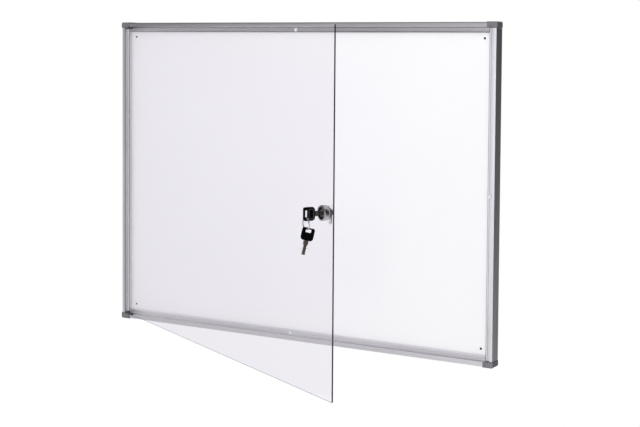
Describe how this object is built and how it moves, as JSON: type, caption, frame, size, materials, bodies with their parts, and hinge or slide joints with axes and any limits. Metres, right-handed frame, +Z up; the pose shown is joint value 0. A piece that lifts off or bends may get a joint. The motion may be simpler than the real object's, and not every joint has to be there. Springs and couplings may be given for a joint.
{
  "type": "lockable notice board",
  "caption": "Lockable wall notice board: shallow aluminium case, grey corner caps, white steel panel and a clear hinged door with cam lock, key, split ring and spare key.",
  "frame": {"origin": "middle of the board's back face, on the wall", "axes": "+X to the right seen from the front, +Y into the wall, +Z up; the front faces -Y"},
  "size_m": [0.9548, 0.5069, 0.7018],
  "materials": {
    "anodised": "satin",
    "cap_plastic": "matte",
    "galvanised": "satin",
    "zinc_plate": "satin",
    "board_core": "matte",
    "white_lacquer": "gloss",
    "white_rubber": "matte",
    "clear_acrylic": "gloss",
    "dark_plastic": "satin",
    "satin_chrome": "satin",
    "black_rubber": "matte",
    "wafer_brass": "satin",
    "black_plastic": "satin",
    "dark_nickel": "satin",
    "spring_steel": "polished"
  },
  "bodies": {
    "case": {"left_rail": "anodised", "right_rail": "anodised", "top_rail": "anodised", "bottom_rail": "anodised", "corner_cap_top_left": "cap_plastic", "corner_cap_top_right": "cap_plastic", "corner_cap_bottom_left": "cap_plastic", "corner_cap_bottom_right": "cap_plastic", "corner_key_top_left": "galvanised", "corner_key_top_right": "galvanised", "corner_key_bottom_left": "galvanised", "corner_key_bottom_right": "galvanised", "cap_screw_top_left": "zinc_plate", "cap_screw_top_right": "zinc_plate", "cap_screw_bottom_left": "zinc_plate", "cap_screw_bottom_right": "zinc_plate", "buffer_top": "white_rubber", "buffer_bottom": "white_rubber", "buffer_right": "white_rubber", "hinge_washer_top": "white_rubber", "hinge_washer_bottom": "white_rubber", "rear_sheet": "galvanised", "core_board": "board_core", "whiteboard_sheet": "white_lacquer"},
    "door": {"door_sheet": "clear_acrylic", "hinge_shoe_top": "dark_plastic", "hinge_shoe_bottom": "dark_plastic", "hinge_pin_top": "zinc_plate", "hinge_pin_bottom": "zinc_plate", "lock_body": "satin_chrome", "lock_gasket": "black_rubber", "lock_nut": "zinc_plate"},
    "plug": {"lock_plug": "satin_chrome", "lock_cam": "zinc_plate", "cam_screw": "zinc_plate", "wafer_1": "wafer_brass", "wafer_2": "wafer_brass", "wafer_3": "wafer_brass", "wafer_4": "wafer_brass"},
    "key": {"key_head": "black_plastic", "key_blade": "dark_nickel"},
    "ring": {"key_ring": "spring_steel"},
    "spare_key": {"spare_key_head": "black_plastic", "spare_key_blade": "dark_nickel"}
  },
  "joints": [
    {"name": "door_swing", "type": "hinge", "parent": "case", "child": "door", "pos_m": [-0.4649, -0.0245, 0], "axis": [0, 0, -1], "range_deg": [-28.3, 76.7]},
    {"name": "lock_turn", "type": "hinge", "parent": "door", "child": "plug", "pos_m": [0.33862, -0.45715, 0.0017], "axis": [-0.4741, -0.8805, 0], "range_deg": [0, 90]},
    {"name": "key_slide", "type": "slide", "parent": "plug", "child": "key", "axis": [-0.4741, -0.8805, 0], "range_m": [0, 0.03]},
    {"name": "ring_swing", "type": "hinge", "parent": "key", "child": "ring", "pos_m": [0.31742, -0.49654, -0.00389], "axis": [0.8805, -0.4741, 0], "range_deg": [-45, 10]},
    {"name": "spare_swing", "type": "hinge", "parent": "ring", "child": "spare_key", "pos_m": [0.31744, -0.49649, -0.02589], "axis": [0.8805, -0.4741, 0], "range_deg": [-20, 35]}
  ]
}
